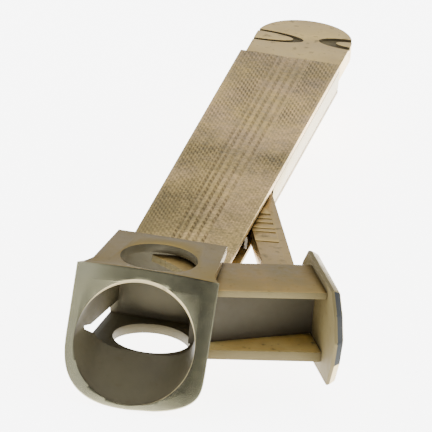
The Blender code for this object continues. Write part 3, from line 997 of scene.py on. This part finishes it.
def make_thumb_plate():
    """A long plate with clipped ends, a rim bevelled in facets and a slightly domed outer face, with
    painted shade on its inner side and front facets.
    """
    rings = []
    for out, keep in PLATE_PROFILE:
        ring = []
        for back, height in PLATE_OUTLINE:
            b = PLATE_MIDDLE[0] + (back - PLATE_MIDDLE[0]) * keep
            h = PLATE_MIDDLE[1] + (height - PLATE_MIDDLE[1]) * keep
            ring.append(plate_point(b * MM, h * MM, out * MM))
        rings.append(ring)
    plate = raw_object("faceted_plate", loft(rings), "nickel")
    outwards = Vector((math.cos(PLATE_ANGLE), math.sin(PLATE_ANGLE), 0))
    # The plate's inner side and rim are painted shade.
    paint(plate, "olive", lambda face: face.normal.dot(outwards) < 0.2)
    # Its front facets are painted shade.
    paint(plate, "facet", on_front_facet)
    soften(plate, 0.14 * MM, 3, 14)
    place(plate, "lever", "thumb_plate")


def make_spring():
    """The leaf spring, a steel copy of the plain node in its place, which stays where it is."""
    spring = frame["nodes"]["opening_spring"]
    leaf = bpy.data.objects.new("leaf_spring", spring.data.copy())
    leaf.matrix_world = spring.matrix_world
    bpy.context.scene.collection.objects.link(leaf)
    leaf.data.materials.clear()
    leaf.data.materials.append(MATERIALS["steel"])
    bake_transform(leaf)
    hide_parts("opening_spring")


# ---------------------------------------------------------------- stage, light and camera


def make_floor():
    """A pale floor just under the object, which glows so that it looks white."""
    builder = bmesh.new()
    corners = box_outline(-FLOOR_HALF, -FLOOR_HALF, FLOOR_HALF, FLOOR_HALF)
    builder.faces.new([builder.verts.new((x, y, cad_low.z - FLOOR_DROP)) for x, y in corners])
    mesh = bpy.data.meshes.new("floor")
    builder.to_mesh(mesh)
    builder.free()
    material = bpy.data.materials.new("pale_floor")
    material.use_nodes = True
    shader = material.node_tree.nodes["Principled BSDF"]
    shader.inputs["Base Color"].default_value = rgb(0.95, 0.95, 0.95)
    shader.inputs["Roughness"].default_value = 0.9
    shader.inputs["Emission Color"].default_value = rgb(1.0, 1.0, 1.0)
    shader.inputs["Emission Strength"].default_value = 6.0
    mesh.materials.append(material)
    floor = bpy.data.objects.new("floor", mesh)
    bpy.context.scene.collection.objects.link(floor)


def make_world():
    """A pale studio with one dark patch in front, above the camera."""
    world = bpy.data.worlds.new("studio")
    bpy.context.scene.world = world
    world.use_nodes = True
    tree = world.node_tree
    background = tree.nodes["Background"]
    coords = tree.nodes.new("ShaderNodeTexCoord")
    toward = tree.nodes.new("ShaderNodeVectorMath")
    toward.operation = "DOT_PRODUCT"
    toward.inputs[1].default_value = Vector(DARK_PATCH).normalized()
    tree.links.new(coords.outputs["Generated"], toward.inputs[0])
    ramp = tree.nodes.new("ShaderNodeValToRGB")
    tree.links.new(toward.outputs["Value"], ramp.inputs["Fac"])
    while len(ramp.color_ramp.elements) < len(SKY_STOPS):
        ramp.color_ramp.elements.new(1.0)
    for element, (position, level) in zip(ramp.color_ramp.elements, SKY_STOPS):
        element.position = position
        element.color = rgb(level * 0.97, level, level * 1.06)
    tree.links.new(ramp.outputs["Color"], background.inputs["Color"])
    background.inputs["Strength"].default_value = 2.0


def make_lights():
    """A softbox on each side and one above."""
    for name, position, aim, size, power in SOFTBOXES:
        light = bpy.data.lights.new(name, "AREA")
        light.shape = "RECTANGLE"
        light.size, light.size_y = size
        light.energy = power
        obj = bpy.data.objects.new(name, light)
        obj.location = position
        obj.rotation_euler = (Vector(aim) - Vector(position)).to_track_quat("-Z", "Y").to_euler()
        bpy.context.scene.collection.objects.link(obj)


def make_camera():
    """A long lens, looking from just right of the handle's axis and a little above, with a slight roll."""
    right = Vector(VIEW_RIGHT).normalized()
    back = right.cross(Vector(VIEW_UP)).normalized()
    up = back.cross(right)
    target = Vector(RING_CENTRE) + right * VIEW_FROM_RING[0] + up * VIEW_FROM_RING[1]
    data = bpy.data.cameras.new("camera")
    data.lens = LENS
    data.sensor_width = SENSOR
    data.clip_end = 20.0
    camera = bpy.data.objects.new("camera", data)
    turn = Matrix((right, up, back)).transposed()
    distance = FIELD * LENS / SENSOR
    camera.matrix_world = Matrix.Translation(target + back * distance) @ turn.to_4x4()
    bpy.context.scene.collection.objects.link(camera)
    bpy.context.scene.camera = camera


make_camera()
make_world()
make_lights()
make_floor()
make_head()
make_top_cover()
make_plain_handle_parts()
make_pins()
make_tongue()
make_lever()
make_upper_flange()
make_lower_flange()
make_web()
make_thumb_plate()
make_spring()
